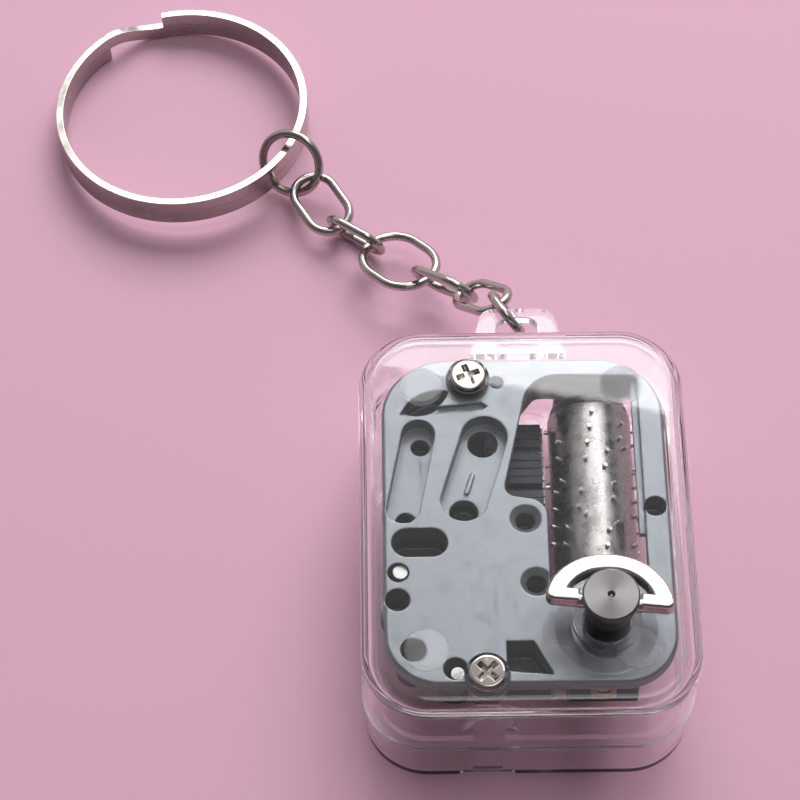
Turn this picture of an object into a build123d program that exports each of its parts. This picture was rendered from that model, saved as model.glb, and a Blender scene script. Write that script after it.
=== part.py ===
"""Hand-cranked cylinder music box in a clear two-part case, on a chain with a split key ring.

Frame, in millimetres: the origin is the centre of the case's flat bottom, +X is to the right of
the crank side, +Y points from the crank end to the chain lug, and +Z is up out of the cover.
"""
from build123d import *
import os
from math import cos, pi, radians, sin

os.makedirs("parts", exist_ok=True)

# Case
case_width = 40.0
case_length = 52.0
case_height = 20.3
case_corner = 8.0
wall = 1.2
split_z = 8.9
parting_gap = 0.08
cover_round = 2.0
cover_inner_round = 0.9
base_inset = 0.4
base_round = 1.3
lip_height = 1.4
lip_wall = 0.9
lip_gap = 0.1
collar_radius = 4.1
collar_height = 0.5
mark_radius = 2.7
mark_depth = 0.12

# Chain lug on the cover's back wall
lug_x = 0.15
lug_root_width = 12.4
lug_tip_width = 8.8
lug_tip_y = 32.3
lug_z = 13.1
lug_thickness = 1.4
lug_hole_y = 29.2
lug_hole_width, lug_hole_depth = 5.6, 3.9

# Bedplate, a zinc casting fixed under the cover
plate_top = 18.4
plate_thickness = 1.8
plate_under = plate_top - plate_thickness
plate_left, plate_right = -17.2, 17.3
plate_front, plate_back = -21.9, 22.1
rear_corner, front_corner = 8.0, 6.5
dome_radius, dome_top_radius, dome_height = 6.1, 4.3, 0.6

# Case screws, as (x, y)
screw_places = ((-6.5, 19.0), (-5.3, -21.0))
screw_head_radius = 2.2
screw_head_top = 20.5
screw_head_height = 1.0
screw_radius = 1.0
screw_bottom = 14.6
clamp_boss_radius = 2.7
thread_boss_radius = 2.0

# Cylinder, with its axis along Y
axis_x = 8.85
axis_z = 10.0
barrel_radius = 5.2
barrel_wall = 0.5
barrel_front, barrel_back = -7.0, 17.8
cap_radius = 4.9
back_cap_end = 19.4
pin_radius = 0.28
pin_reach = 0.5
pins_per_track = 4
arbor_radius = 0.8
arbor_front, arbor_back = -19.0, 22.4
bush_radius = 1.5
running_gap = 0.03
seat_gap = 0.01
cheek_half_width = 4.2
cheek_bottom = 6.4
back_cheek = (20.3, 22.0)
rear_wall_bottom = 12.2
front_cheek = (-19.2, -17.4)

# Comb
tooth_count = 18
tooth_pitch = 1.1
tooth_width = 0.85
tooth_thickness = 0.7
first_tooth_y = 16.35
tooth_tip_x = 2.95
comb_top = 10.4
comb_thickness = 2.0
comb_left = -14.6
heel_back = (-3.8, 16.9)
heel_front = (-6.6, -3.0)
comb_screws_at = ((-9.2, 13.0), (-11.2, 0.0))

# Gears: a face gear on the cylinder and a pinion on the crank
module = 0.3
gear_teeth = 32
pinion_teeth = 8
pinion_radius = module * pinion_teeth / 2
addendum = 0.27
dedendum = 0.33
gear_tooth_share = 0.38
gear_inner, gear_outer = 4.3, 5.3
gear_disc_radius = 5.4

# Crank
crank_x = axis_x
crank_y = -14.8
head_top = 27.5
head_radius = 3.35
head_height = 0.9
neck_radius = 2.7
neck_bottom = 19.4
journal_radius = 1.5
journal_bottom = 15.95
shaft_bottom = 13.9
pinion_bottom, pinion_top = 14.2, 15.1
bush_bottom, bush_top = 16.1, 19.3
crank_bush_radius = 2.5
pivot_z = 25.2
pivot_radius = 0.85
handle_turn = -6.0
handle_droop = 14.0
handle_radius = 7.5
handle_width = 2.3
handle_thickness = 1.7
handle_edge = -0.55
bar_width = 1.9

# Chain and key ring
wire_radius = 0.6
link_gap = 0.3
link_overlap = wire_radius + link_gap / 2
ring_centre = (-44.0, 71.9)
ring_radius = 16.8
ring_band = 0.95
ring_layer = 2.0
ring_layer_gap = 0.04
ring_tilt = 4.2
ring_lift_direction = -50.0
jog_start, jog_end = 102.0, 130.0

# Where neighbouring links meet, from the lug outwards, how each is rolled about its length, and its width
link_meets = (
    (0.2, 29.85, 13.8), (-2.0, 34.6, 12.5), (-5.9, 38.6, 8.7), (-11.4, 43.4, 5.2),
    (-17.6, 49.5, 3.6), (-22.9, 53.6, 2.7), (-26.9, 60.1, 3.2),
)
link_rolls = (65, 1, 68, 8, 73, -2)
link_widths = (4.8, 4.8, 5.6, 8.4, 4.8, 5.8)
link_names = ("lug_link", "chain_link_1", "chain_link_2", "chain_link_3", "chain_link_4", "chain_link_5")
round_link_centre = (-29.0, 62.3, 4.8)
round_link_radius = 4.2
round_link_rise = 32.0
round_link_heading = 242.0


def finish(builder, name):
    """Label a finished piece and write it to its own file."""
    builder.part.label = name
    export_step(builder.part, f"parts/{name}.step")


def shaft_plane(y):
    """A plane across the cylinder's axis at y, with its normal along +Y."""
    return Plane(origin=(axis_x, y, axis_z), x_dir=(1, 0, 0), z_dir=(0, 1, 0))


def crank_plane(z):
    """A horizontal plane on the crank's axis."""
    return Plane(origin=(crank_x, crank_y, z))


# ---------------------------------------------------------------- case cover
inner_top = case_height - wall
with BuildPart() as case_cover:
    with BuildSketch(Plane.XY.offset(split_z)):
        RectangleRounded(case_width, case_length, case_corner)
    extrude(amount=case_height - split_z)
    fillet(case_cover.faces().sort_by(Axis.Z)[-1].edges(), cover_round)
    with BuildSketch(Plane.XY.offset(split_z)):
        RectangleRounded(case_width - 2 * wall, case_length - 2 * wall, case_corner - wall)
    extrude(amount=inner_top - split_z, mode=Mode.SUBTRACT)
    ceiling = case_cover.edges().filter_by(lambda e: abs(e.center().Z - inner_top) < 1e-4)
    fillet(ceiling, cover_inner_round)
    # Ejector marks, shallow round dimples in the ceiling
    with BuildSketch(Plane.XY.offset(inner_top)):
        with GridLocations(24.6, 35.6, 2, 2):
            Circle(mark_radius)
    extrude(amount=mark_depth, mode=Mode.SUBTRACT)
    # Bosses that the bedplate is clamped against
    with BuildSketch(Plane.XY.offset(plate_top)):
        with Locations(*screw_places):
            Circle(clamp_boss_radius)
    extrude(amount=inner_top - plate_top)
    # Chain lug
    with BuildSketch(Plane.XY.offset(lug_z)):
        with BuildLine():
            Polyline(
                (lug_x - lug_root_width / 2, case_length / 2 - wall / 2),
                (lug_x + lug_root_width / 2, case_length / 2 - wall / 2),
                (lug_x + lug_tip_width / 2, lug_tip_y),
                (lug_x - lug_tip_width / 2, lug_tip_y),
                close=True,
            )
        make_face()
        with Locations((lug_x, lug_hole_y)):
            SlotOverall(lug_hole_width, lug_hole_depth, mode=Mode.SUBTRACT)
    extrude(amount=lug_thickness)
    tip_corners = case_cover.edges().filter_by(Axis.Z).filter_by(lambda e: e.center().Y > lug_tip_y - 0.1)
    fillet(tip_corners, 1.8)
    # Raised collar round the crank hole
    with BuildSketch(crank_plane(case_height)):
        Circle(collar_radius)
    extrude(amount=collar_height)
    fillet(case_cover.faces().sort_by(Axis.Z)[-1].edges(), 0.2)
    with BuildSketch(crank_plane(inner_top - 1)):
        Circle(neck_radius + 0.25)
    extrude(amount=wall + collar_height + 2, mode=Mode.SUBTRACT)
    # Screw holes with recessed seats
    for place in screw_places:
        with Locations((place[0], place[1], case_height)):
            CounterBoreHole(
                radius=screw_radius + 0.15,
                counter_bore_radius=screw_head_radius + 0.25,
                counter_bore_depth=case_height - (screw_head_top - screw_head_height),
                depth=3,
            )
finish(case_cover, "case_cover")

# ---------------------------------------------------------------- case base
base_width = case_width - 2 * base_inset
base_length = case_length - 2 * base_inset
base_corner = case_corner - base_inset
base_top = split_z - parting_gap
latch_x = -4.9
latch_y = -23.7
with BuildPart() as case_base:
    with BuildSketch():
        RectangleRounded(base_width, base_length, base_corner)
    extrude(amount=base_top)
    fillet(case_base.faces().sort_by(Axis.Z)[0].edges(), base_round)
    with BuildSketch(Plane.XY.offset(wall)):
        RectangleRounded(base_width - 2 * wall, base_length - 2 * wall, base_corner - wall)
    extrude(amount=base_top - wall, mode=Mode.SUBTRACT)
    # Lip that locates the cover
    with BuildSketch(Plane.XY.offset(base_top - 1)):
        lip_inset = 2 * (wall + lip_gap)
        RectangleRounded(case_width - lip_inset, case_length - lip_inset, case_corner - lip_inset / 2)
        lip_inset += 2 * lip_wall
        RectangleRounded(
            case_width - lip_inset, case_length - lip_inset, case_corner - lip_inset / 2, mode=Mode.SUBTRACT
        )
    extrude(amount=1 + lip_height)
    # Finger notch in the front of the bottom rim
    with BuildSketch(Plane.XZ.offset(base_length / 2)):
        with BuildLine():
            Polyline(
                (latch_x - 4.4, -0.1), (latch_x - 3.0, 1.7),
                (latch_x + 3.0, 1.7), (latch_x + 4.4, -0.1), close=True,
            )
        make_face()
    extrude(amount=-0.7, mode=Mode.SUBTRACT)
    # Arrow-headed tongue that centres the movement's front edge
    with BuildSketch(Plane.XZ.offset(-latch_y - 0.5)):
        with BuildLine():
            Polyline(
                (latch_x - 1.8, wall - 0.2), (latch_x + 1.8, wall - 0.2), (latch_x + 1.8, 12.4),
                (latch_x + 3.2, 12.4), (latch_x + 1.2, 15.8), (latch_x - 1.2, 15.8),
                (latch_x - 3.2, 12.4), (latch_x - 1.8, 12.4), close=True,
            )
        make_face()
    extrude(amount=1.0)
finish(case_base, "case_base")

# ---------------------------------------------------------------- bedplate
pocket_depth = 2.1
pocket_floor = 0.7
boss_wall = 0.5
countersink = 0.75
recess_depth = 0.7
bar_height = 0.35
eye_bottom, notch_bottom = 14.2, 13.0
slot_place = (-12.85, -3.3)
slot_size = (6.8, 3.9)
cup_bottom = 12.6
# Each blind hole's x, y, radius and the bottom of its boss
blind_holes = (
    (-0.1, -0.25, 1.2, 13.4), (0.9, -8.7, 1.2, 12.4), (-15.45, -7.3, 1.3, 12.4), (-15.6, -10.9, 1.5, 12.4),
    (-13.8, -17.4, 1.55, 12.4), (-8.95, -19.9, 1.45, 12.4), (-3.0, 18.8, 0.9, 13.4), (15.6, 1.25, 1.35, 14.4),
    (-12.5, 10.8, 1.15, 13.0), (-14.45, 0.55, 1.25, 13.0), (-7.4, 1.7, 1.75, 12.6),
)


def pocket_outlines(margin):
    """The two slanted pockets, seen from above."""
    with Locations((-13.75, 6.45)):
        SlotOverall(14.5 + 2 * margin, 4.1 + 2 * margin, rotation=79)
    with Locations((-6.05, 6.75)):
        SlotOverall(14.9 + 2 * margin, 5.7 + 2 * margin, rotation=73)


def eye_outline(margin):
    """The pointed hole by the rear screw."""
    left, right = (-14.6 - margin, 14.9 - margin / 3), (-8.9 + margin, 17.55 + margin / 3)
    with BuildLine() as rim:
        ThreePointArc(left, (-12.3 - margin / 2, 17.35 + margin), right)
        ThreePointArc(right, (-11.2 + margin / 2, 14.85 - margin), left)
    make_face(rim.edges())


def notch_outline(margin):
    """The four-sided hole beside the front screw."""
    with BuildLine() as rim:
        Polyline(
            (-2.95 - margin, -16.4 + margin), (0.3 + margin, -16.4 + margin), (2.4 + margin, -20.4),
            (2.4, -20.8 - margin), (-2.95 - margin, -20.3 - margin), close=True,
        )
    make_face(rim.edges())


with BuildPart() as bedplate:
    with BuildSketch(Plane.XY.offset(plate_under)) as outline:
        with BuildLine():
            Polyline(
                (plate_left, plate_front), (plate_right, plate_front),
                (plate_right, plate_back), (plate_left, plate_back), close=True,
            )
        make_face()
        fillet(outline.vertices().filter_by(lambda v: v.Y > 0), rear_corner)
        fillet(outline.vertices().filter_by(lambda v: v.Y < 0 and v.Y < plate_front + 0.1), front_corner)
        with Locations(screw_places[1]):
            Circle(2.6)
    extrude(amount=plate_thickness)
    chamfer(bedplate.faces().sort_by(Axis.Z)[-1].edges(), 0.35)
    # Seat for the comb, and the bosses that the case screws bite into
    with BuildSketch(Plane.XY.offset(comb_top)):
        with BuildLine():
            Polyline(heel_back, heel_front, (comb_left, heel_front[1]), (comb_left, heel_back[1]), close=True)
        make_face()
    extrude(amount=plate_under - comb_top)
    with BuildSketch(Plane.XY.offset(screw_bottom - 0.4)):
        with Locations(*screw_places):
            Circle(thread_boss_radius)
    extrude(amount=plate_under - screw_bottom + 0.4)
    # Raised dome round the crank
    with Locations((crank_x, crank_y, plate_top)):
        Cone(
            dome_radius, dome_top_radius, dome_height,
            align=(Align.CENTER, Align.CENTER, Align.MIN),
        )
    # Window over the cylinder
    with BuildSketch(Plane.XY.offset(plate_under - 0.1)) as window:
        with BuildLine():
            Polyline(
                (14.4, 19.7), (1.0, 19.9), (-2.75, 2.95), (2.5, 2.25), (2.5, -8.6), (14.3, -8.6), close=True,
            )
        make_face()
        for (near_x, near_y), corner in (
            ((1.0, 19.9), 4.4), ((-2.75, 2.95), 1.5), ((2.5, 2.25), 2.4), ((14.4, 19.7), 0.7)
        ):
            corners = window.vertices().sort_by_distance((near_x, near_y, 0))
            fillet(corners[0], corner)
    extrude(amount=plate_thickness + 0.2, mode=Mode.SUBTRACT)
    # Deep wall behind the cylinder, joined to the cheek
    with BuildSketch(Plane.XY.offset(rear_wall_bottom)) as rear_wall:
        with BuildLine():
            Polyline(
                (14.6, 19.85), (2.0, 20.0), (0.2, 17.6), (-1.2, 17.9), (0.9, 21.4), (14.6, 21.4), close=True,
            )
        make_face()
        wall_corner = rear_wall.vertices().sort_by_distance((2.0, 20.0, 0))[0]
        fillet(wall_corner, 1.6)
    extrude(amount=plate_under - rear_wall_bottom)
    # Ledge along the window's right side
    with BuildSketch(Plane.XY.offset(plate_under)):
        with Locations((14.1, 8.6)):
            Rectangle(1.0, 21.2)
    extrude(amount=plate_thickness * 0.45)
    # Cheeks that carry the arbor's bushes
    for cheek in (back_cheek, front_cheek):
        with BuildSketch(shaft_plane(cheek[0])):
            with Locations((0, -(plate_under + cheek_bottom) / 2 + axis_z)):
                Rectangle(2 * cheek_half_width, plate_under - cheek_bottom)
        extrude(amount=cheek[1] - cheek[0])
        with BuildSketch(shaft_plane(cheek[0])):
            Circle(bush_radius + seat_gap)
        extrude(amount=cheek[1] - cheek[0], mode=Mode.SUBTRACT)
    # Bosses round the blind holes, and closed cups under the pockets, slot, eye and notch
    for x, y, radius, bottom in blind_holes:
        with BuildSketch(Plane.XY.offset(bottom)):
            with Locations((x, y)):
                Circle(radius + boss_wall)
        extrude(amount=plate_under - bottom)
    with BuildSketch(Plane.XY.offset(cup_bottom)):
        with Locations(slot_place):
            SlotOverall(slot_size[0] + 2 * boss_wall, slot_size[1] + 2 * boss_wall)
    extrude(amount=plate_under - cup_bottom)
    pocket_bottom = plate_top - pocket_depth - pocket_floor
    with BuildSketch(Plane.XY.offset(pocket_bottom)):
        pocket_outlines(boss_wall)
    extrude(amount=plate_under - pocket_bottom)
    with BuildSketch(Plane.XY.offset(eye_bottom)):
        eye_outline(boss_wall)
    extrude(amount=plate_under - eye_bottom)
    with BuildSketch(Plane.XY.offset(notch_bottom)):
        notch_outline(boss_wall)
    extrude(amount=plate_under - notch_bottom)
    # Slanted pockets in the top, the rear one carrying a plain raised bar
    with BuildSketch(Plane.XY.offset(plate_top)):
        pocket_outlines(0)
    extrude(amount=-pocket_depth, mode=Mode.SUBTRACT)
    with BuildSketch(Plane.XY.offset(plate_top)):
        with Locations(slot_place):
            SlotOverall(*slot_size)
    extrude(amount=cup_bottom + boss_wall - plate_top, mode=Mode.SUBTRACT)
    with BuildSketch(Plane.XY.offset(plate_top - pocket_depth)):
        with Locations((-6.6, 5.6)):
            SlotOverall(3.0, 0.55, rotation=73)
    extrude(amount=bar_height)
    # Recess by the rear screw, with a deep eye-shaped hole in it
    with BuildSketch(Plane.XY.offset(plate_top)):
        with BuildLine():
            Polyline(
                (-15.0, 14.35), (-14.6, 15.0), (-4.9, 16.0), (-4.2, 15.4), (-4.9, 14.85), (-13.9, 13.9),
                close=True,
            )
        make_face()
    extrude(amount=-recess_depth, mode=Mode.SUBTRACT)
    with BuildSketch(Plane.XY.offset(plate_top)):
        eye_outline(0)
    extrude(amount=eye_bottom + boss_wall - plate_top, mode=Mode.SUBTRACT)
    # Hole down to the comb
    with BuildSketch(Plane.XY.offset(plate_top)):
        with Locations((-4.85, 11.2)):
            Circle(1.85)
    extrude(amount=comb_top - plate_top, mode=Mode.SUBTRACT)
    # Blind holes down into their bosses, two of them countersunk
    for x, y, radius, bottom in blind_holes:
        with BuildSketch(Plane.XY.offset(plate_top)):
            with Locations((x, y)):
                Circle(radius)
        extrude(amount=bottom + boss_wall - plate_top, mode=Mode.SUBTRACT)
    for x, y, radius, bottom in blind_holes[:2]:
        with Locations((x, y, plate_top)):
            Cone(
                radius, radius + countersink, countersink,
                align=(Align.CENTER, Align.CENTER, Align.MAX), mode=Mode.SUBTRACT,
            )
    with BuildSketch(Plane.XY.offset(plate_top)):
        notch_outline(0)
    extrude(amount=notch_bottom + boss_wall - plate_top, mode=Mode.SUBTRACT)
    # Seats for the crank bush, the comb screws and the case screws
    with BuildSketch(crank_plane(plate_under)):
        Circle(crank_bush_radius + seat_gap)
    extrude(amount=plate_thickness + dome_height, mode=Mode.SUBTRACT)
    with BuildSketch(Plane.XY.offset(comb_top)):
        with Locations(*comb_screws_at):
            Circle(0.82)
    extrude(amount=3.4, mode=Mode.SUBTRACT)
    with BuildSketch(Plane.XY.offset(plate_top)):
        with Locations(*screw_places):
            Circle(screw_radius + 0.02)
    extrude(amount=screw_bottom - plate_top, mode=Mode.SUBTRACT)
finish(bedplate, "bedplate")

# ---------------------------------------------------------------- dowels in two of the bedplate's holes
dowel_bottom, dowel_top = 13.0, 17.9
with BuildPart() as dowel_pins:
    for x, y, radius in ((-15.2, -7.0, 0.9), (-8.7, -20.3, 0.8)):
        with BuildSketch(Plane.XY.offset(dowel_bottom)):
            with Locations((x, y)):
                Circle(radius)
        extrude(amount=dowel_top - dowel_bottom)
finish(dowel_pins, "dowel_pins")


# ---------------------------------------------------------------- comb
def heel_edge(y):
    """The x of the comb's slanted heel edge at y, where the teeth start."""
    share = (y - heel_front[1]) / (heel_back[1] - heel_front[1])
    return heel_front[0] + share * (heel_back[0] - heel_front[0])


tooth_rows = [first_tooth_y - tooth_pitch * index for index in range(tooth_count)]
with BuildPart() as comb:
    with BuildSketch(Plane.XY.offset(comb_top - comb_thickness)):
        with BuildLine():
            Polyline(heel_back, heel_front, (comb_left, heel_front[1]), (comb_left, heel_back[1]), close=True)
        make_face()
        with Locations(*comb_screws_at):
            Circle(0.9, mode=Mode.SUBTRACT)
    extrude(amount=comb_thickness)
    for y in tooth_rows:
        root = heel_edge(y) - 0.4
        with BuildSketch(Plane.XY.offset(comb_top - tooth_thickness)):
            with Locations(((root + tooth_tip_x) / 2, y)):
                Rectangle(tooth_tip_x - root, tooth_width)
        extrude(amount=tooth_thickness)
finish(comb, "comb")

# Lead weights in four groups that get longer and deeper towards the bass end
lead_width = 0.98
lead_end = tooth_tip_x - 0.3
lead_groups = ((0, 3), (4, 8), (9, 12), (13, 17))
with BuildPart() as comb_leads:
    for step, (first, last) in enumerate(lead_groups):
        for y in tooth_rows[first:last]:
            length = 3.8 + 0.4 * step
            with BuildSketch(Plane.XY.offset(comb_top)):
                with Locations((lead_end - length / 2, y)):
                    Rectangle(length, lead_width)
            extrude(amount=0.9 + 0.5 * step)
finish(comb_leads, "comb_leads")

with BuildPart() as comb_screws:
    screw_under = comb_top - comb_thickness
    with BuildSketch(Plane.XY.offset(screw_under)):
        with Locations(*comb_screws_at):
            Circle(1.6)
    extrude(amount=-1.0)
    fillet(comb_screws.faces().sort_by(Axis.Z)[0:2].edges(), 0.3)
    with BuildSketch(Plane.XY.offset(screw_under)):
        with Locations(*comb_screws_at):
            Circle(0.8)
    extrude(amount=comb_thickness + 3.2)
    with BuildSketch(Plane.XY.offset(screw_under - 1.0)):
        with Locations(*comb_screws_at):
            Rectangle(3.4, 0.5)
    extrude(amount=0.5, mode=Mode.SUBTRACT)
finish(comb_screws, "comb_screws")

# ---------------------------------------------------------------- cylinder
with BuildPart() as cylinder_barrel:
    with BuildSketch(shaft_plane(barrel_front)):
        Circle(barrel_radius)
        Circle(barrel_radius - barrel_wall, mode=Mode.SUBTRACT)
    extrude(amount=barrel_back - barrel_front)
finish(cylinder_barrel, "cylinder_barrel")

with BuildPart() as cylinder_pins:
    for track, y in enumerate(tooth_rows):
        for beat in range(pins_per_track):
            # Beats are spread unevenly round the barrel so that each track sounds at its own times
            turn = radians(360 / pins_per_track * beat + 47 * track + 17 * ((track * beat) % 3))
            pin_plane = Plane(
                origin=(
                    axis_x + (barrel_radius - 0.3) * cos(turn), y, axis_z + (barrel_radius - 0.3) * sin(turn)
                ),
                x_dir=(0, 1, 0),
                z_dir=(cos(turn), 0, sin(turn)),
            )
            with BuildSketch(pin_plane):
                Circle(pin_radius)
            extrude(amount=0.3 + pin_reach)
finish(cylinder_pins, "cylinder_pins")

with BuildPart() as cylinder_arbor:
    with BuildSketch(shaft_plane(arbor_front)):
        Circle(arbor_radius)
    extrude(amount=arbor_back - arbor_front)
    chamfer(cylinder_arbor.edges(), 0.15)
finish(cylinder_arbor, "cylinder_arbor")

plug_radius = barrel_radius - barrel_wall - seat_gap
with BuildPart() as back_cap:
    with BuildSketch(shaft_plane(barrel_back - 1.5)):
        Circle(plug_radius)
    extrude(amount=1.5)
    with BuildSketch(shaft_plane(barrel_back)):
        Circle(cap_radius)
    extrude(amount=back_cap_end - barrel_back)
    fillet(back_cap.faces().sort_by(Axis.Y)[-1].edges(), 0.7)
    with BuildSketch(shaft_plane(barrel_back - 1.5)):
        Circle(arbor_radius + seat_gap)
    extrude(amount=1.5 + back_cap_end - barrel_back, mode=Mode.SUBTRACT)
finish(back_cap, "back_cap")

gear_root_y = crank_y + pinion_radius + dedendum
gear_tip_y = crank_y + pinion_radius - addendum
gear_back_y = gear_root_y + 1.4
with BuildPart() as front_cap:
    for start, end, radius in (
        (barrel_front, barrel_front + 1.5, plug_radius),
        (barrel_front - 1.0, barrel_front, cap_radius),
        (gear_back_y, barrel_front - 1.0, 2.2),
    ):
        with BuildSketch(shaft_plane(start)):
            Circle(radius)
            Circle(arbor_radius + seat_gap, mode=Mode.SUBTRACT)
        extrude(amount=end - start)
finish(front_cap, "front_cap")

# Face gear: a disc with radial teeth that point towards the crank, a gap facing straight up
gear_tooth_width = pi * module * gear_tooth_share
with BuildPart() as face_gear:
    with BuildSketch(shaft_plane(gear_root_y)):
        Circle(gear_disc_radius)
        Circle(arbor_radius + seat_gap, mode=Mode.SUBTRACT)
    extrude(amount=gear_back_y - gear_root_y)
    for index in range(gear_teeth):
        turn = radians(90 + 360 / gear_teeth * (index + 0.5))
        middle = (gear_inner + gear_outer) / 2
        tooth_plane = Plane(
            origin=(axis_x + middle * cos(turn), gear_root_y, axis_z + middle * sin(turn)),
            x_dir=(cos(turn), 0, sin(turn)),
            z_dir=(0, -1, 0),
        )
        with BuildSketch(tooth_plane):
            Rectangle(gear_outer - gear_inner, gear_tooth_width * 1.25)
        with BuildSketch(tooth_plane.offset(addendum + dedendum)):
            Rectangle(gear_outer - gear_inner, gear_tooth_width * 0.6)
        loft()
finish(face_gear, "face_gear")

with BuildPart() as arbor_spacers:
    for start, end, radius in ((-17.2, gear_root_y, 1.4), (back_cap_end + 0.1, 20.1, 1.8)):
        with BuildSketch(shaft_plane(start)):
            Circle(radius)
            Circle(arbor_radius + seat_gap, mode=Mode.SUBTRACT)
        extrude(amount=end - start)
finish(arbor_spacers, "arbor_spacers")

for bush_name, (start, end) in (("back_bush", back_cheek), ("front_bush", front_cheek)):
    with BuildPart() as bush:
        with BuildSketch(shaft_plane(start)):
            Circle(bush_radius)
            Circle(arbor_radius + running_gap, mode=Mode.SUBTRACT)
        extrude(amount=end - start)
    finish(bush, bush_name)

# ---------------------------------------------------------------- crank
bar_direction = Vector(cos(radians(handle_turn)), sin(radians(handle_turn)), 0)
with BuildPart() as crank_shaft:
    for start, end, radius in (
        (shaft_bottom, journal_bottom, arbor_radius),
        (journal_bottom, neck_bottom, journal_radius),
        (neck_bottom, head_top - head_height, neck_radius),
        (head_top - head_height, head_top, head_radius),
    ):
        with BuildSketch(crank_plane(start)):
            Circle(radius)
        extrude(amount=end - start)
    chamfer(crank_shaft.faces().sort_by(Axis.Z)[-1].edges(), 0.2)
    # Centre dimple left by turning
    with Locations((crank_x, crank_y, head_top)):
        Cone(0.15, 0.45, 0.3, align=(Align.CENTER, Align.CENTER, Align.MAX), mode=Mode.SUBTRACT)
    # Cross hole for the handle's bar
    with Locations(Plane(origin=(crank_x, crank_y, pivot_z), z_dir=bar_direction)):
        Cylinder(pivot_radius + running_gap, 2 * neck_radius + 2, mode=Mode.SUBTRACT)
finish(crank_shaft, "crank_shaft")

pinion_profile = (
    (0, 0.3), (pinion_radius - dedendum, 0.24), (pinion_radius, 0.18), (pinion_radius + addendum, 0.09)
)
with BuildPart() as crank_pinion:
    for index in range(pinion_teeth):
        turned = crank_plane(pinion_bottom).rotated((0, 0, 90 + 360 / pinion_teeth * index))
        with BuildSketch(turned):
            with BuildLine():
                Polyline(*[(x, -y) for x, y in pinion_profile], *reversed(pinion_profile), close=True)
            make_face()
        extrude(amount=pinion_top - pinion_bottom)
    with BuildSketch(crank_plane(pinion_bottom)):
        Circle(pinion_radius - dedendum + 0.02)
    extrude(amount=pinion_top - pinion_bottom)
    with BuildSketch(crank_plane(pinion_bottom)):
        Circle(arbor_radius)
    extrude(amount=pinion_top - pinion_bottom, mode=Mode.SUBTRACT)
finish(crank_pinion, "crank_pinion")

with BuildPart() as crank_washer:
    with BuildSketch(crank_plane(15.5)):
        Circle(1.9)
        Circle(arbor_radius + seat_gap, mode=Mode.SUBTRACT)
    extrude(amount=0.43)
finish(crank_washer, "crank_washer")

with BuildPart() as crank_bush:
    with BuildSketch(crank_plane(bush_bottom)):
        Circle(crank_bush_radius)
        Circle(journal_radius + running_gap, mode=Mode.SUBTRACT)
    extrude(amount=bush_top - bush_bottom)
finish(crank_bush, "crank_bush")

# D-shaped handle: its straight bar turns in the crank's cross hole
handle_normal = Vector(0, 0, 1).rotate(Axis((0, 0, 0), tuple(bar_direction)), -handle_droop)
handle_plane = Plane(origin=(crank_x, crank_y, pivot_z), x_dir=bar_direction, z_dir=handle_normal)
bar_gap = head_radius + 0.15
with BuildPart() as crank_handle:
    with BuildSketch(handle_plane) as grip:
        with BuildLine():
            CenterArc((0, handle_edge), handle_radius, 0, 180)
            Line((-handle_radius, handle_edge), (handle_radius, handle_edge))
        make_face()
        fillet(grip.vertices(), 0.9)
        inner_edge = handle_edge + bar_width
        inner = handle_radius - handle_width
        reach = (inner ** 2 - bar_width ** 2) ** 0.5
        with BuildLine():
            ThreePointArc((reach, inner_edge), (0, inner + handle_edge), (-reach, inner_edge))
            Line((-reach, inner_edge), (reach, inner_edge))
        make_face(mode=Mode.SUBTRACT)
        with Locations((0, handle_edge + bar_width / 2)):
            Rectangle(2 * bar_gap, bar_width + 0.1, mode=Mode.SUBTRACT)
    extrude(amount=handle_thickness / 2, both=True)
    fillet(crank_handle.faces().filter_by(handle_plane).edges(), 0.4)
    with Locations(Plane(origin=handle_plane.origin, z_dir=bar_direction)):
        Cylinder(pivot_radius, 2 * bar_gap + 0.6)
finish(crank_handle, "crank_handle")

# ---------------------------------------------------------------- case screws
with BuildPart() as case_screws:
    with BuildSketch(Plane.XY.offset(screw_head_top)):
        with Locations(*screw_places):
            Circle(screw_head_radius)
    extrude(amount=-screw_head_height)
    fillet(case_screws.edges().filter_by(lambda e: e.center().Z > screw_head_top - 0.01), 0.35)
    with BuildSketch(Plane.XY.offset(screw_head_top - screw_head_height)):
        with Locations(*screw_places):
            Circle(screw_radius)
    extrude(amount=screw_bottom - screw_head_top + screw_head_height)
    # Cross recesses, tapering towards the bottom
    for index, place in enumerate(screw_places):
        for arm in (0, 90):
            slot_turn = arm + 20 + 25 * index
            slot_plane = Plane(origin=(place[0], place[1], screw_head_top)).rotated((0, 0, slot_turn))
            with BuildSketch(slot_plane):
                Rectangle(3.0, 0.78)
            with BuildSketch(slot_plane.offset(-0.8)):
                Rectangle(1.9, 0.5)
            loft(mode=Mode.SUBTRACT)
finish(case_screws, "case_screws")

# ---------------------------------------------------------------- chain
def wire_loop(plane, length, width, name):
    """A closed link of round wire in a plane, with its centre line's length and width."""
    straight = (length - width) / 2
    bend = width / 2
    with BuildPart() as loop:
        with BuildLine(plane) as path:
            ThreePointArc((straight, -bend), (straight + bend, 0), (straight, bend))
            if straight > 0:
                Line((straight, bend), (-straight, bend))
            ThreePointArc((-straight, bend), (-straight - bend, 0), (-straight, -bend))
            if straight > 0:
                Line((-straight, -bend), (straight, -bend))
        with BuildSketch(Plane(origin=path.line @ 0, z_dir=path.line % 0)):
            Circle(wire_radius)
        sweep()
    finish(loop, name)


def upright(direction):
    """The direction nearest to straight up that is square to the given one."""
    return (Vector(0, 0, 1) - direction * direction.Z).normalized()


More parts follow.
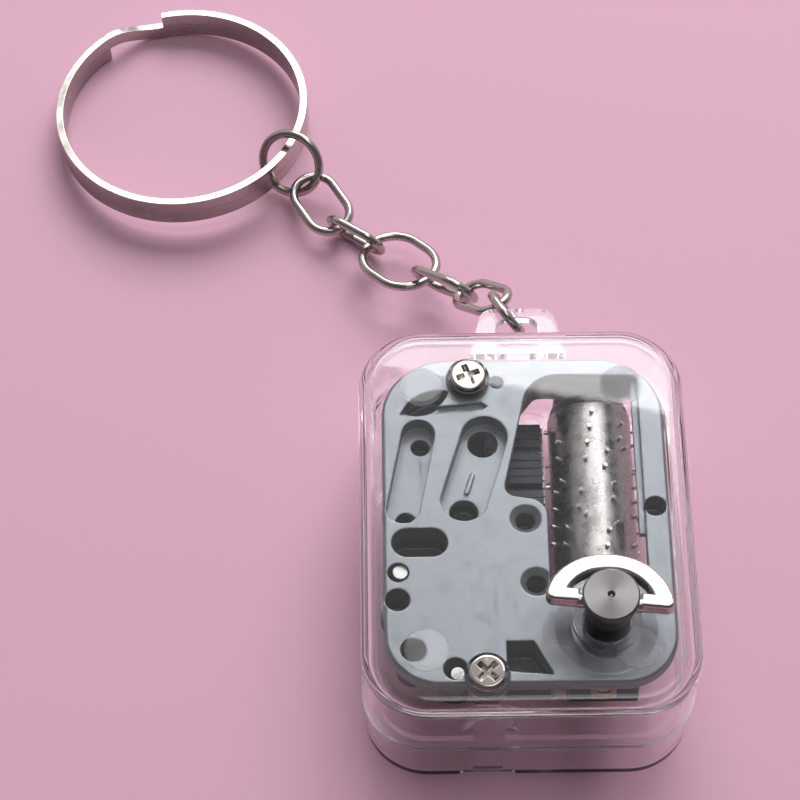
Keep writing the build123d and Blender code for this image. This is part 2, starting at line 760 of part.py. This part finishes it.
for index, name in enumerate(link_names):
    near, far = Vector(*link_meets[index]), Vector(*link_meets[index + 1])
    along = (far - near).normalized()
    normal = upright(along).rotate(Axis((0, 0, 0), tuple(along)), link_rolls[index])
    near_end = near if index == 0 else near - along * link_overlap
    far_end = far + along * link_overlap
    link_plane = Plane(origin=(near_end + far_end) / 2, x_dir=along, z_dir=normal)
    wire_loop(link_plane, (far_end - near_end).length, link_widths[index], name)

rise, heading = radians(round_link_rise), radians(round_link_heading)
round_link_normal = Vector(cos(rise) * cos(heading), cos(rise) * sin(heading), sin(rise))
round_link_plane = Plane(
    origin=round_link_centre, x_dir=Vector(0, 0, 1).cross(round_link_normal), z_dir=round_link_normal
)
wire_loop(round_link_plane, 2 * round_link_radius, 2 * round_link_radius, "ring_link")

# ---------------------------------------------------------------- split key ring
tilt, lift = radians(ring_tilt), radians(ring_lift_direction)
ring_height = 2 * ring_layer + ring_layer_gap
ring_low_to_middle = ring_height / 2 * cos(tilt) + (ring_radius + ring_band / 2) * sin(tilt)
ring_plane = Plane(
    origin=(ring_centre[0], ring_centre[1], ring_low_to_middle),
    x_dir=(cos(lift) * cos(tilt), sin(lift) * cos(tilt), sin(tilt)),
    z_dir=(-cos(lift) * sin(tilt), -sin(lift) * sin(tilt), cos(tilt)),
)


def band_plane(angle, height):
    """The cross-section plane of the band at an angle from +X, with its middle at a height in the ring."""
    turn = radians(angle - ring_lift_direction)
    outward = ring_plane.x_dir * cos(turn) + ring_plane.y_dir * sin(turn)
    origin = ring_plane.origin + outward * ring_radius + ring_plane.z_dir * height
    return Plane(origin=origin, x_dir=outward, z_dir=outward.cross(ring_plane.z_dir) * -1)


low, high = -(ring_layer + ring_layer_gap) / 2, (ring_layer + ring_layer_gap) / 2
jog_steps = 6
with BuildPart() as key_ring:
    # Each coil runs nearly all the way round
    for angle, height, sweep_angle in (
        (jog_end + 0.5, low, 360 - (jog_end - jog_start) - 0.5),
        (jog_end, high, 360 - (jog_end - jog_start) - 0.5),
    ):
        with BuildSketch(band_plane(angle, height)):
            Rectangle(ring_band, ring_layer)
        revolve(axis=Axis(ring_plane.origin, ring_plane.z_dir), revolution_arc=sweep_angle)
    # The jog climbs from the lower coil to the upper one
    for step in range(jog_steps + 1):
        share = step / jog_steps
        height = low + (high - low) * (1 - cos(pi * share)) / 2
        with BuildSketch(band_plane(jog_start + (jog_end - jog_start) * share, height)):
            Rectangle(ring_band, ring_layer)
    loft()
finish(key_ring, "key_ring")
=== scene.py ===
"""Looks for the hand-cranked cylinder music box: materials, floor, light and camera."""

import math

import bpy
from mathutils import Matrix, Vector

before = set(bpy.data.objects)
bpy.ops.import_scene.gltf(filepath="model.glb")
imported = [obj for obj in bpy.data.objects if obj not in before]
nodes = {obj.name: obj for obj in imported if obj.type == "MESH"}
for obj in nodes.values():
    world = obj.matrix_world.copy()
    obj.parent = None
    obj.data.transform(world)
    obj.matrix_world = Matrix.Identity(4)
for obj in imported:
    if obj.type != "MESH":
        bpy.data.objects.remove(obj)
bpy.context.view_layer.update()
MM = 0.001


# ---------------------------------------------------------------- node helpers
class Shader:
    """A material with one Principled shader and short ways to add the nodes that drive it."""

    def __init__(self, name, colour, roughness, metallic=0.0, **constants):
        self.material = bpy.data.materials.new(name)
        self.material.use_nodes = True
        self.tree = self.material.node_tree
        self.bsdf = self.tree.nodes["Principled BSDF"]
        self.output = self.tree.nodes["Material Output"]
        self.bsdf.inputs["Base Color"].default_value = (*colour, 1.0)
        self.bsdf.inputs["Roughness"].default_value = roughness
        self.bsdf.inputs["Metallic"].default_value = metallic
        for socket, value in constants.items():
            self.bsdf.inputs[socket.replace("_", " ")].default_value = value
        self.place = self.node("ShaderNodeTexCoord").outputs["Object"]

    def node(self, kind, **settings):
        made = self.tree.nodes.new(kind)
        for key, value in settings.items():
            setattr(made, key, value)
        return made

    def link(self, source, target):
        self.tree.links.new(source, target)

    def stretched(self, scale, rotation=(0, 0, 0), place=None):
        mapping = self.node("ShaderNodeMapping")
        mapping.inputs["Scale"].default_value = scale
        mapping.inputs["Rotation"].default_value = rotation
        self.link(place or self.place, mapping.inputs["Vector"])
        return mapping.outputs["Vector"]

    def noise(self, per_mm, detail=3.0, roughness=0.55, place=None):
        made = self.node("ShaderNodeTexNoise")
        made.inputs["Scale"].default_value = per_mm / MM
        made.inputs["Detail"].default_value = detail
        made.inputs["Roughness"].default_value = roughness
        self.link(place or self.place, made.inputs["Vector"])
        return made.outputs["Fac"]

    def ranged(self, source, low, high, to_low=0.0, to_high=1.0):
        made = self.node("ShaderNodeMapRange", interpolation_type="SMOOTHSTEP")
        self.link(source, made.inputs["Value"])
        for socket, value in (("From Min", low), ("From Max", high), ("To Min", to_low), ("To Max", to_high)):
            made.inputs[socket].default_value = value
        return made.outputs["Result"]

    def math(self, operation, first, second):
        made = self.node("ShaderNodeMath", operation=operation)
        for index, value in enumerate((first, second)):
            if isinstance(value, (int, float)):
                made.inputs[index].default_value = value
            else:
                self.link(value, made.inputs[index])
        return made.outputs["Value"]

    def mixed(self, factor, first, second):
        made = self.node("ShaderNodeMix", data_type="RGBA")
        for socket, value in ((made.inputs[6], first), (made.inputs[7], second)):
            if isinstance(value, tuple):
                socket.default_value = (*value, 1.0)
            else:
                self.link(value, socket)
        self.link(factor, made.inputs[0])
        return made.outputs[2]

    def bump(self, height, depth_mm, strength=1.0, normal=None):
        made = self.node("ShaderNodeBump")
        made.inputs["Strength"].default_value = strength
        made.inputs["Distance"].default_value = depth_mm * MM
        self.link(height, made.inputs["Height"])
        if normal is not None:
            self.link(normal, made.inputs["Normal"])
        return made.outputs["Normal"]

    def rounded_normal(self, radius_mm):
        made = self.node("ShaderNodeBevel", samples=6)
        made.inputs["Radius"].default_value = radius_mm * MM
        return made.outputs["Normal"]

    def height(self):
        """Height above the case's bottom, in metres."""
        made = self.node("ShaderNodeSeparateXYZ")
        self.link(self.place, made.inputs["Vector"])
        return made.outputs["Z"]

    def vector(self, operation, first, second=None):
        made = self.node("ShaderNodeVectorMath", operation=operation)
        self.link(first, made.inputs[0])
        if second is not None:
            made.inputs[1].default_value = second
        return made.outputs["Value" if operation in ("LENGTH", "DISTANCE") else "Vector"]

    def edges(self, rounded):
        """1 along convex and concave edges, 0 on flat faces."""
        geometry = self.node("ShaderNodeNewGeometry")
        dot = self.node("ShaderNodeVectorMath", operation="DOT_PRODUCT")
        self.link(rounded, dot.inputs[0])
        self.link(geometry.outputs["Normal"], dot.inputs[1])
        return self.ranged(dot.outputs["Value"], 0.995, 0.85)

    def set(self, socket, source):
        self.link(source, self.bsdf.inputs[socket])


def scaled(colour, factor):
    return tuple(min(1.0, channel * factor) for channel in colour)


# ---------------------------------------------------------------- kinds of material
SPREAD = 0.3  # how far roughness varies over a metal, as a share of it
SCUFF_ROUGHNESS = 0.12
EDGE_POLISH = 0.3  # how much of its roughness a rubbed edge loses
GRAIN_STRENGTH, PATCH_STRENGTH = 0.6, 0.3
DIRT_SHADE = 0.35


def metal(name, colour, roughness, patch_mm=4.0, patch=0.1, grain_mm=0.12, grain_depth=0.004,
          stretch=(1, 1, 1), edge_mm=0.12, edge_bright=1.25, dirt=0.0, metallic=1.0, painted_shade_below=None):
    """A metal with cloudy patches, fine grain or brushing, scuffs and rubbed edges.

    painted_shade_below is (fully shaded height, bright height, how much colour is left low down), with
    heights in mm: painted shade that darkens the colour further down, standing in for the shade deep in holes
    and pockets.
    """
    s = Shader(name, colour, roughness, metallic)
    patches = s.noise(1 / patch_mm, 4.0, 0.6)
    grain = s.noise(1 / grain_mm, 3.0, 0.6, s.stretched(stretch))
    scuffs = s.noise(1.3, 2.0, 0.5, s.stretched((1.0, 0.12, 0.4), (0.2, 0.1, 0.7)))
    tone = s.mixed(s.ranged(patches, 0.3, 0.7), scaled(colour, 1 - patch), scaled(colour, 1 + patch))
    if dirt:
        grime = s.ranged(s.noise(0.8, 5.0, 0.7), 0.58, 0.75, 0.0, dirt)
        tone = s.mixed(grime, tone, scaled(colour, DIRT_SHADE))
    # Painted shade: below the bright height the colour darkens, standing in for the shade deep in holes and
    # pockets
    if painted_shade_below:
        full_shade_height, bright, left = painted_shade_below
        painted_shade_mask = s.ranged(s.height(), full_shade_height * MM, bright * MM, 1.0, 0.0)
        tone = s.mixed(painted_shade_mask, tone, scaled(colour, left))
    uneven = s.ranged(patches, 0.3, 0.7, roughness * (1 - SPREAD), roughness * (1 + SPREAD))
    rough = s.math("ADD", uneven, s.ranged(scuffs, 0.6, 0.72, 0.0, SCUFF_ROUGHNESS))
    rounded = s.rounded_normal(edge_mm)
    worn = s.edges(rounded)
    tone = s.mixed(worn, tone, scaled(colour, edge_bright))
    rough = s.math("SUBTRACT", rough, s.math("MULTIPLY", worn, roughness * EDGE_POLISH))
    grained = s.bump(grain, grain_depth, GRAIN_STRENGTH, rounded)
    s.set("Base Color", tone)
    s.set("Roughness", rough)
    s.set("Normal", s.bump(patches, grain_depth * 2, PATCH_STRENGTH, grained))
    return s


RING_FREQUENCY = 260.0
# Painted shade on the crank's neck: full below NECK_DARK, gone above HEAD_BRIGHT, standing in for the shade
# under the head
NECK_DARK, HEAD_BRIGHT = 22.6, 24.2  # heights on the crank in mm
NECK_SHADE = 0.25


def turned_face(name, colour, roughness, anisotropy):
    """Steel faced on a lathe: its highlights fan out from the middle, over fine concentric rings, and its
    neck under the head carries painted shade.
    """
    s = Shader(name, colour, roughness, 1.0, Anisotropic=anisotropy)
    around = s.node("ShaderNodeTangent", direction_type="RADIAL", axis="Z")
    s.set("Tangent", around.outputs["Tangent"])
    in_box = s.node("ShaderNodeTexCoord").outputs["Generated"]
    centred = s.vector("SUBTRACT", in_box, (0.5, 0.5, 0.0))
    from_middle = s.vector("LENGTH", s.stretched((1, 1, 0), place=centred))
    rings = s.math("SINE", s.math("MULTIPLY", from_middle, RING_FREQUENCY), 0.0)
    spread = s.ranged(s.noise(0.7, 3.0), 0.35, 0.65, 0.86, 1.06)
    tone = s.mixed(spread, scaled(colour, 0.8), scaled(colour, 1.08))
    # Painted shade: the neck under the head is darkened towards NECK_SHADE of the colour
    painted_neck_shade = s.ranged(s.height(), NECK_DARK * MM, HEAD_BRIGHT * MM, 1.0, 0.0)
    s.set("Base Color", s.mixed(painted_neck_shade, tone, scaled(colour, NECK_SHADE)))
    rounded = s.rounded_normal(0.1)
    s.set("Normal", s.bump(rings, 0.0012, 0.5, rounded))
    return s


MARK_CENTRE = (12.3 * MM, 17.8 * MM, 19.1 * MM)
MARK_RADIUS, MARK_BLUR = 2.6 * MM, 0.15 * MM
MARK_ROUGHNESS, HANDLED_ROUGHNESS = 0.3, 0.06
LAMP_LIGHT_KEPT = (0.82, 0.81, 0.815, 1.0)  # through each surface


def clear_plastic(name, tint, roughness):
    """Polished clear plastic that lets lamps through, with faint handling marks."""
    s = Shader(name, tint, roughness, 0.0, Transmission_Weight=1.0, IOR=1.49)
    marks = s.noise(0.9, 3.0, 0.6, s.stretched((1.0, 0.25, 1.0), (0, 0, 0.5)))
    # Frosted ejector marks: absolute coordinates fold the ceiling's four corners into one
    from_mark = s.vector("DISTANCE", s.vector("ABSOLUTE", s.place), MARK_CENTRE)
    frost = s.ranged(from_mark, MARK_RADIUS + MARK_BLUR, MARK_RADIUS, 0.0, MARK_ROUGHNESS)
    handled = s.ranged(marks, 0.62, 0.8, roughness, roughness + HANDLED_ROUGHNESS)
    s.set("Roughness", s.math("MAXIMUM", handled, frost))
    waves = s.noise(0.12, 2.0)
    s.set("Normal", s.bump(waves, 0.02, 0.4))
    clear = s.node("ShaderNodeBsdfTransparent")
    clear.inputs["Color"].default_value = LAMP_LIGHT_KEPT
    path = s.node("ShaderNodeLightPath")
    mix = s.node("ShaderNodeMixShader")
    s.link(path.outputs["Is Shadow Ray"], mix.inputs[0])
    s.link(s.bsdf.outputs[0], mix.inputs[1])
    s.link(clear.outputs[0], mix.inputs[2])
    s.link(mix.outputs[0], s.output.inputs["Surface"])
    return s


def moulded_plastic(name, colour, roughness, dark, light):
    """Unpolished moulded plastic with faint clouding."""
    s = Shader(name, colour, roughness)
    s.set("Base Color", s.mixed(s.noise(0.4, 3.0), dark, light))
    s.set("Normal", s.bump(s.noise(6.0), 0.005, 0.5))
    return s


# ---------------------------------------------------------------- the object's materials
case_plastic = clear_plastic("clear_case", (0.985, 0.99, 0.99), 0.02)
gear_plastic = moulded_plastic(
    "moulded_gear", (0.80, 0.77, 0.70), 0.42, dark=(0.76, 0.73, 0.65), light=(0.84, 0.82, 0.76),
)
# The zinc gets painted shade low down (14.6 to 16.3 mm), standing in for the shade in its holes and pockets
cast_zinc = metal(
    "die_cast_zinc", (0.205, 0.22, 0.24), 0.42, patch_mm=3.0, patch=0.09, grain_mm=0.16, grain_depth=0.006,
    edge_mm=0.3, edge_bright=1.6, dirt=0.2, metallic=0.85, painted_shade_below=(14.6, 16.3, 0.22),
)
cylinder_steel = metal(
    "plated_cylinder", (0.36, 0.345, 0.335), 0.3, patch_mm=1.6, patch=0.16, grain_mm=0.14, grain_depth=0.008,
    stretch=(1, 3, 1), edge_mm=0.1,
)
pin_steel = metal(
    "drawn_pins", (0.62, 0.6, 0.57), 0.25, patch_mm=1.0, patch=0.05, grain_mm=0.05, grain_depth=0.002,
    edge_mm=0.08,
)
comb_steel = metal(
    "ground_comb", (0.17, 0.17, 0.185), 0.3, patch_mm=3.0, grain_mm=0.08, grain_depth=0.003,
    stretch=(0.2, 2, 1), edge_mm=0.08, edge_bright=2.5,
)
lead = metal(
    "dull_lead", (0.03, 0.03, 0.036), 0.42, patch_mm=1.0, patch=0.2, grain_mm=0.1, grain_depth=0.01,
    edge_mm=0.08, edge_bright=2.5,
)
turned_steel = metal(
    "fine_turned_steel", (0.46, 0.455, 0.45), 0.3, patch_mm=2.0, patch=0.08, grain_mm=0.08, grain_depth=0.003,
    stretch=(1, 1, 5), edge_mm=0.1,
)
brass = metal(
    "turned_brass", (0.38, 0.29, 0.16), 0.34, patch_mm=2.0, patch=0.08, grain_mm=0.1, grain_depth=0.003,
)
nickel = metal(
    "nickel_plate", (0.50, 0.465, 0.435), 0.17, patch=0.06, grain_mm=0.15, grain_depth=0.002,
    edge_mm=0.1, edge_bright=1.1,
)
crank_steel = turned_face("faced_steel", (0.19, 0.182, 0.182), 0.3, 0.7)

def wear(node, shader):
    """Give a CAD node its material."""
    slots = nodes[node].material_slots
    for slot in slots:
        slot.material = shader.material
    if not slots:
        nodes[node].data.materials.append(shader.material)


WORN_BY = (
    (case_plastic, ("case_cover", "case_base")),
    (gear_plastic, ("face_gear", "arbor_spacers")),
    (cast_zinc, ("bedplate", "back_cap", "front_cap")),
    (cylinder_steel, ("cylinder_barrel",)),
    (pin_steel, ("cylinder_pins",)),
    (comb_steel, ("comb",)),
    (lead, ("comb_leads",)),
    (turned_steel, ("dowel_pins", "comb_screws", "cylinder_arbor", "crank_pinion", "crank_washer")),
    (crank_steel, ("crank_shaft",)),
    (brass, ("back_bush", "front_bush", "crank_bush")),
    (nickel, ("crank_handle", "case_screws", "lug_link", "ring_link", "key_ring")),
    (nickel, tuple(f"chain_link_{number}" for number in range(1, 6))),
)
for shader, node_names in WORN_BY:
    for node_name in node_names:
        wear(node_name, shader)


# ---------------------------------------------------------------- floor
FLOOR_REACH = 3.0
FLOOR_Z = -0.05 * MM  # just under the case, so that the two surfaces don't coincide
scene = bpy.context.scene
floor_mesh = bpy.data.meshes.new("floor")
corners = [(x * FLOOR_REACH, y * FLOOR_REACH, FLOOR_Z) for x, y in ((-1, -1), (1, -1), (1, 1), (-1, 1))]
floor_mesh.from_pydata(corners, [], [(0, 1, 2, 3)])
floor = bpy.data.objects.new("floor", floor_mesh)
scene.collection.objects.link(floor)
floor_shader = Shader("floor", (0.78, 0.44, 0.58), 0.75)
floor_shader.set("Normal", floor_shader.bump(floor_shader.noise(2.0), 0.01, 0.2))
floor_mesh.materials.append(floor_shader.material)


# ---------------------------------------------------------------- light
LAMP_TARGET = Vector((0, 0.02, 0))


def area_light(name, place, size, watts):
    """A soft rectangular lamp that faces the object."""
    data = bpy.data.lights.new(name, "AREA")
    data.shape = "RECTANGLE"
    data.size, data.size_y = size
    data.energy = watts
    light = bpy.data.objects.new(name, data)
    light.location = place
    light.rotation_mode = "QUATERNION"
    light.rotation_quaternion = (LAMP_TARGET - Vector(place)).to_track_quat("-Z", "Y")
    scene.collection.objects.link(light)


area_light("window", (0.12, 0.62, 0.58), (0.62, 0.5), 5.2)
area_light("top", (0.15, 0.05, 0.9), (0.35, 0.35), 0.9)


def soft_room(colour, dim, bright):
    """A plain room that grows brighter from the front to the back."""
    world = bpy.data.worlds.new("studio")
    scene.world = world
    world.use_nodes = True
    tree = world.node_tree
    background = tree.nodes["Background"]
    background.inputs["Color"].default_value = (*colour, 1)
    direction = tree.nodes.new("ShaderNodeTexCoord")
    axes = tree.nodes.new("ShaderNodeSeparateXYZ")
    glow = tree.nodes.new("ShaderNodeMapRange")
    for socket, value in (("From Min", -0.2), ("From Max", 0.75), ("To Min", dim), ("To Max", bright)):
        glow.inputs[socket].default_value = value
    tree.links.new(direction.outputs["Generated"], axes.inputs["Vector"])
    tree.links.new(axes.outputs["Y"], glow.inputs["Value"])
    tree.links.new(glow.outputs["Result"], background.inputs["Strength"])


soft_room((0.94, 0.92, 0.93), 0.13, 0.75)
scene.view_settings.view_transform = "Standard"
scene.cycles.max_bounces = 24
scene.cycles.glossy_bounces = 16
scene.cycles.transmission_bounces = 24
scene.cycles.transparent_max_bounces = 24

# ---------------------------------------------------------------- camera
CAMERA_PLACE = Vector((-17.99, -155.16, 309.0)) * MM
YAW, PITCH, ROLL = math.radians(1.035), math.radians(59.395), math.radians(0.222)
camera_data = bpy.data.cameras.new("camera")
camera_data.sensor_width = 36.0
camera_data.lens = 123.42
camera_data.clip_start, camera_data.clip_end = 0.01, 20.0
camera = bpy.data.objects.new("camera", camera_data)
scene.collection.objects.link(camera)
forward = Vector((math.sin(YAW) * math.cos(PITCH), math.cos(YAW) * math.cos(PITCH), -math.sin(PITCH)))
aim = forward.to_track_quat("-Z", "Y").to_matrix().to_4x4()
camera.matrix_world = Matrix.Translation(CAMERA_PLACE) @ aim @ Matrix.Rotation(ROLL, 4, "Z")
scene.camera = camera
